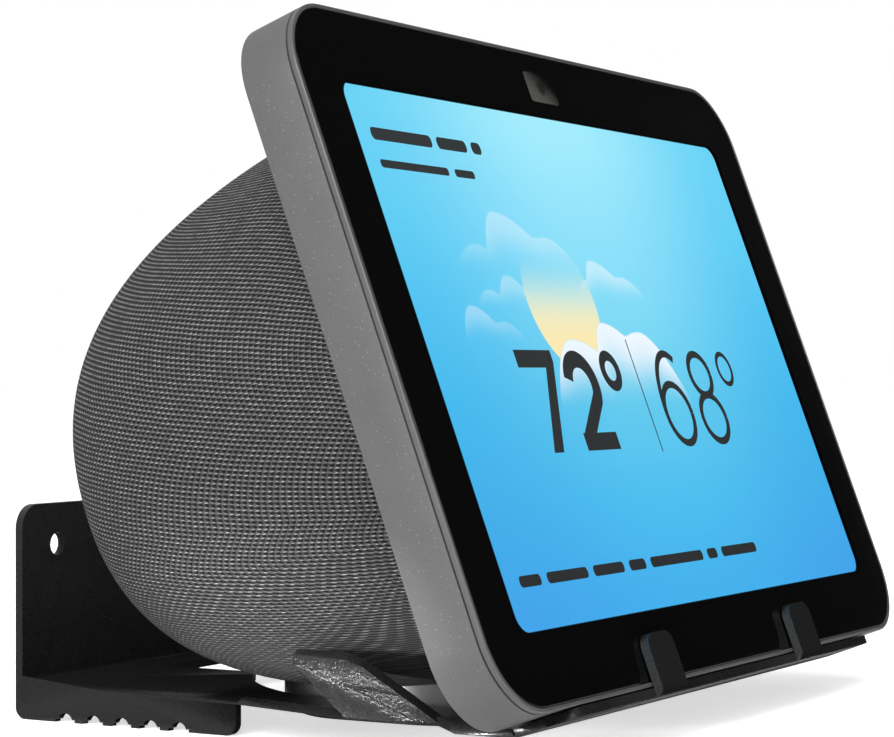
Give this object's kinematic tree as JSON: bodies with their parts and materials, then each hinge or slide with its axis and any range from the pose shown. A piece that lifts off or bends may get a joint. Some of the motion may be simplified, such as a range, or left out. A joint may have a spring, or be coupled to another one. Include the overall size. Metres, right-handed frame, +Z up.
{
  "type": "smart display",
  "caption": "Touch-screen smart display with a knitted rounded back, leaning back in a bent steel wall bracket with two front hooks.",
  "frame": {"origin": "midway between the two wall holes of the bracket, on the wall face of its rear flange", "axes": "+X to the right as seen by someone facing the screen, +Y into the wall, +Z up; the screen faces -Y and leans back 20.6 degrees"},
  "size_m": [0.2, 0.1403, 0.1419],
  "materials": {
    "black_steel": "textured powder coat",
    "black_glass": "polished glass, black border",
    "bezel_plastic": "satin",
    "rim_plastic": "fine texture",
    "panel": "lit panel",
    "backlight_tray": "satin",
    "chassis_metal": "stamped",
    "screw_steel": "zinc",
    "knit": "charcoal knit",
    "shell_plastic": "moulded",
    "dark_plastic": "moulded",
    "pad_rubber": "matte",
    "board": "solder mask",
    "chip": "moulded epoxy",
    "tin_shield": "tinned",
    "sink_metal": "extruded",
    "connector_plastic": "moulded",
    "brass_posts": "turned",
    "flex_film": "polyimide",
    "speaker_steel": "black",
    "magnet_metal": "zinc plated",
    "cone_paper": "pressed paper",
    "lens_black": "polished",
    "shutter_steel": "satin"
  },
  "bodies": {
    "bracket": {"wall_bracket": "black_steel"},
    "display": {"front_glass": "black_glass", "front_bezel": "bezel_plastic", "lcd_panel": "panel", "backlight": "backlight_tray", "rim": "rim_plastic", "chassis_plate": "chassis_metal", "chassis_screws": "screw_steel", "rear_shell": "shell_plastic", "fabric_cover": "knit", "port_ring": "dark_plastic", "power_jack": "dark_plastic", "power_board": "board", "foot": "dark_plastic", "foot_pad": "pad_rubber", "speaker_box": "dark_plastic", "speaker_box_lid": "dark_plastic", "left_speaker_frame": "speaker_steel", "right_speaker_frame": "speaker_steel", "left_speaker_surround": "pad_rubber", "right_speaker_surround": "pad_rubber", "left_speaker_magnet": "magnet_metal", "right_speaker_magnet": "magnet_metal", "radiator_frame": "speaker_steel", "radiator_surround": "pad_rubber", "speaker_posts": "shell_plastic", "main_board": "board", "board_standoffs": "brass_posts", "processor": "chip", "memory_chips": "chip", "shield_can": "tin_shield", "heat_sink": "sink_metal", "board_connectors": "connector_plastic", "display_ribbon": "flex_film", "camera_module": "lens_black", "camera_board": "board", "volume_board": "board", "mic_board": "board", "tact_switches": "screw_steel", "wifi_antenna": "flex_film"},
    "volume_up_button": {"volume_up_button": "dark_plastic"},
    "volume_down_button": {"volume_down_button": "dark_plastic"},
    "mic_button": {"mic_button": "dark_plastic"},
    "shutter": {"camera_shutter": "shutter_steel"},
    "left_cone": {"left_speaker_cone": "cone_paper"},
    "right_cone": {"right_speaker_cone": "cone_paper"},
    "radiator_cone": {"radiator_plate": "magnet_metal"}
  },
  "joints": [
    {"name": "display_lift", "type": "slide", "parent": "bracket", "child": "display", "axis": [0, 0.3518, 0.9361], "range_m": [0, 0.02]},
    {"name": "volume_up_press", "type": "slide", "parent": "display", "child": "volume_up_button", "axis": [0, -0.3518, -0.9361], "range_m": [0, 0.0005], "stiffness_N_per_m": 900, "springref_m": -0.0006},
    {"name": "volume_down_press", "type": "slide", "parent": "display", "child": "volume_down_button", "axis": [0, -0.3518, -0.9361], "range_m": [0, 0.0005], "stiffness_N_per_m": 900, "springref_m": -0.0006},
    {"name": "mic_press", "type": "slide", "parent": "display", "child": "mic_button", "axis": [0, -0.3518, -0.9361], "range_m": [0, 0.0005], "stiffness_N_per_m": 900, "springref_m": -0.0006},
    {"name": "shutter_slide", "type": "slide", "parent": "display", "child": "shutter", "axis": [-1, 0, 0], "range_m": [0, 0.009]},
    {"name": "left_cone_travel", "type": "slide", "parent": "display", "child": "left_cone", "axis": [-1, 0, 0], "range_m": [-0.0015, 0.0015], "stiffness_N_per_m": 900},
    {"name": "right_cone_travel", "type": "slide", "parent": "display", "child": "right_cone", "axis": [1, 0, 0], "range_m": [-0.0015, 0.0015], "stiffness_N_per_m": 900},
    {"name": "radiator_cone_travel", "type": "slide", "parent": "display", "child": "radiator_cone", "axis": [0, 1, 0], "range_m": [-0.0015, 0.0015], "stiffness_N_per_m": 900}
  ]
}
